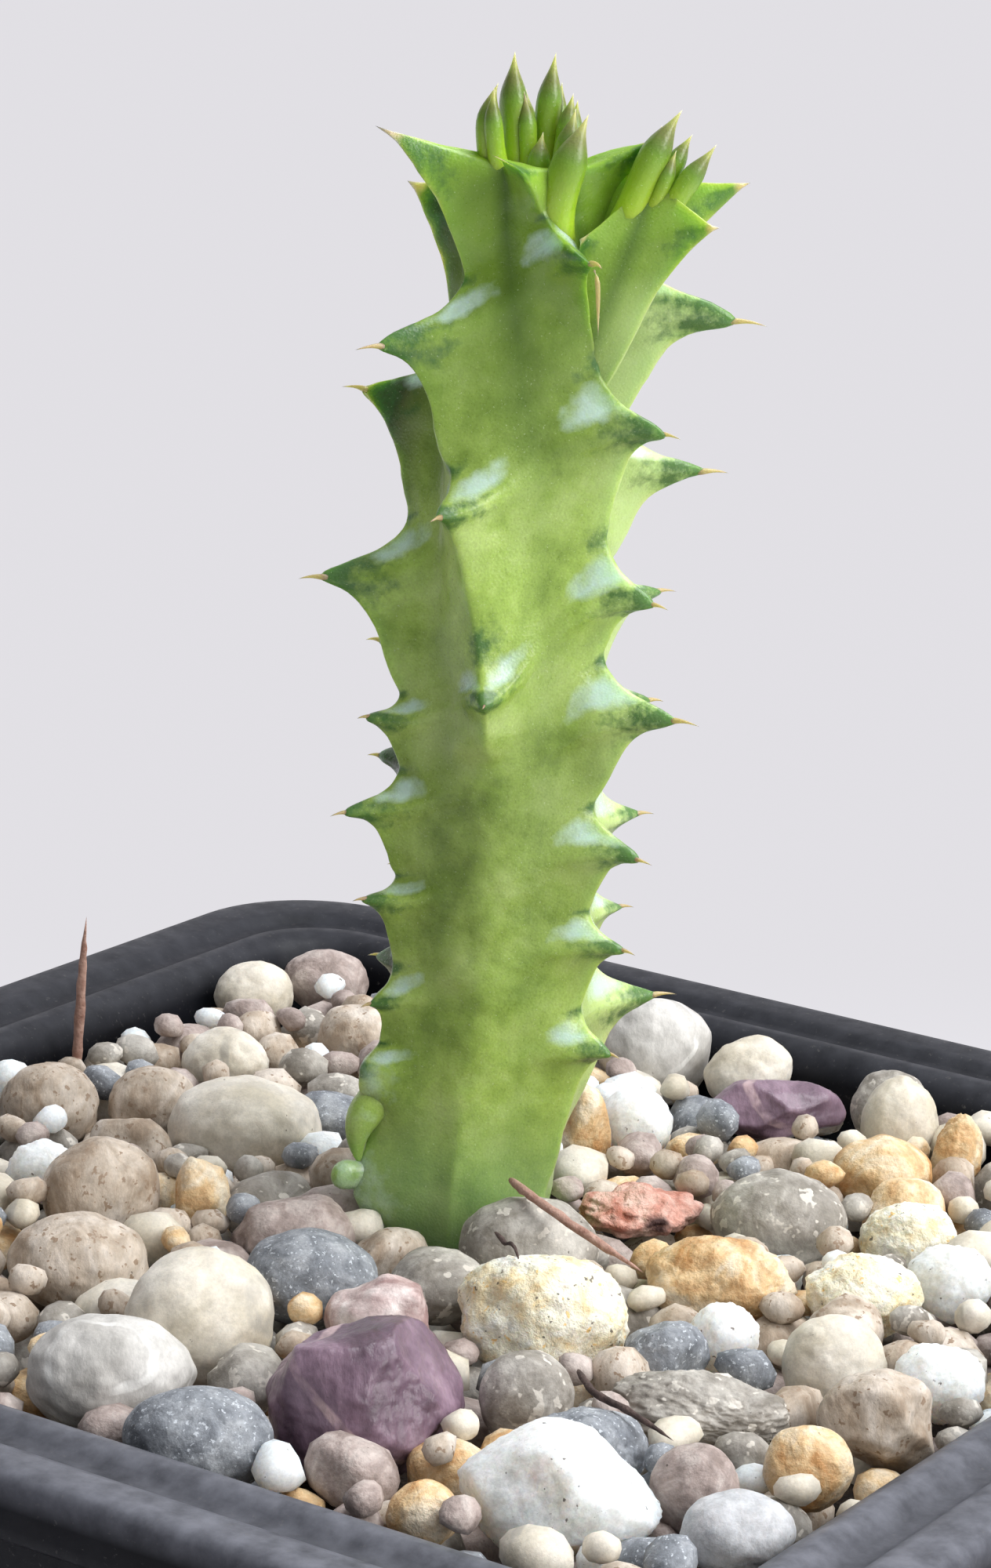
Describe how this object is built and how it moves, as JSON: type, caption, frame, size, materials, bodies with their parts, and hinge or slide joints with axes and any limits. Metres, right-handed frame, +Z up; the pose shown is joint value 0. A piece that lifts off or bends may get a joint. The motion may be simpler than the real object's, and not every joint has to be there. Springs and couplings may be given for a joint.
{
  "type": "potted persian carpet flower",
  "caption": "Young ribbed succulent stem with spine-tipped teeth and a side shoot at its top, in a small square black nursery pot top dressed with mixed pebbles.",
  "frame": {"origin": "middle of the pot's underside", "axes": "+Z up along the stem; the pot's four sides face +X, -X, +Y and -Y; the picture's view is from azimuth 33 degrees"},
  "size_m": [0.08, 0.08, 0.1326],
  "materials": {
    "pot": "satin black nursery-pot plastic with light scuffs",
    "potting_mix": "dark gritty potting mix",
    "stem": "waxy green succulent skin with tan horny spines on the teeth",
    "stone_purple": "purple-grey quartzite",
    "stone_slate": "blue-grey speckled pebble",
    "stone_grey": "grey pebble with pale bands",
    "stone_cream": "cream veined pebble",
    "stone_white": "white rough quartz",
    "stone_lime": "yellow-cream pitted limestone",
    "stone_ochre": "ochre and honey pebble",
    "stone_brown": "tan-brown mottled pebble",
    "stone_mauve": "mauve-brown pebble",
    "bark": "red-brown bark chip",
    "grit": "mixed fine gravel, beige, grey and white",
    "dry_stalk": "dry pinkish-brown stalk",
    "twig": "dark dry root fibre"
  },
  "bodies": {
    "root": {"pot": "pot", "potting_mix": "potting_mix", "stem": "stem", "purple_quartzite": "stone_purple", "wine_chip": "stone_purple", "slate_oval": "stone_slate", "grey_green_flat": "stone_grey", "cream_veined": "stone_cream", "grey_banded": "stone_grey", "slate_low": "stone_slate", "limestone_lump": "stone_lime", "grey_by_stem": "stone_grey", "tan_mottled": "stone_brown", "tan_upright": "stone_brown", "mauve_block": "stone_mauve", "cream_large": "stone_cream", "orange_shard": "stone_ochre", "beige_left": "stone_brown", "beige_mid": "stone_brown", "beige_back": "stone_cream", "brown_back": "stone_brown", "ochre_slab": "stone_ochre", "grey_white_back": "stone_white", "grey_brown_flat": "stone_brown", "brown_purple_bar": "stone_purple", "white_back": "stone_white", "beige_tall": "stone_grey", "cream_tall": "stone_cream", "ochre_tall": "stone_ochre", "orange_tan": "stone_ochre", "yellow_lump": "stone_lime", "ochre_rough": "stone_ochre", "olive_rough": "stone_lime", "white_right": "stone_white", "white_small": "stone_white", "grey_pointed": "stone_slate", "cream_quartz": "stone_cream", "tan_block": "stone_brown", "white_edge": "stone_white", "honey_smooth": "stone_ochre", "white_front": "stone_white", "pink_beige": "stone_mauve", "grey_front": "stone_slate", "grey_rough_slab": "stone_grey", "white_large": "stone_white", "pink_far": "stone_mauve", "beige_far": "stone_cream", "white_left": "stone_white", "grey_right": "stone_grey", "bark_chip": "bark", "yellow_small": "stone_ochre", "grey_round": "stone_grey", "grit_bed": "grit", "dry_stalk": "dry_stalk", "dark_twig": "twig"}
  },
  "joints": []
}
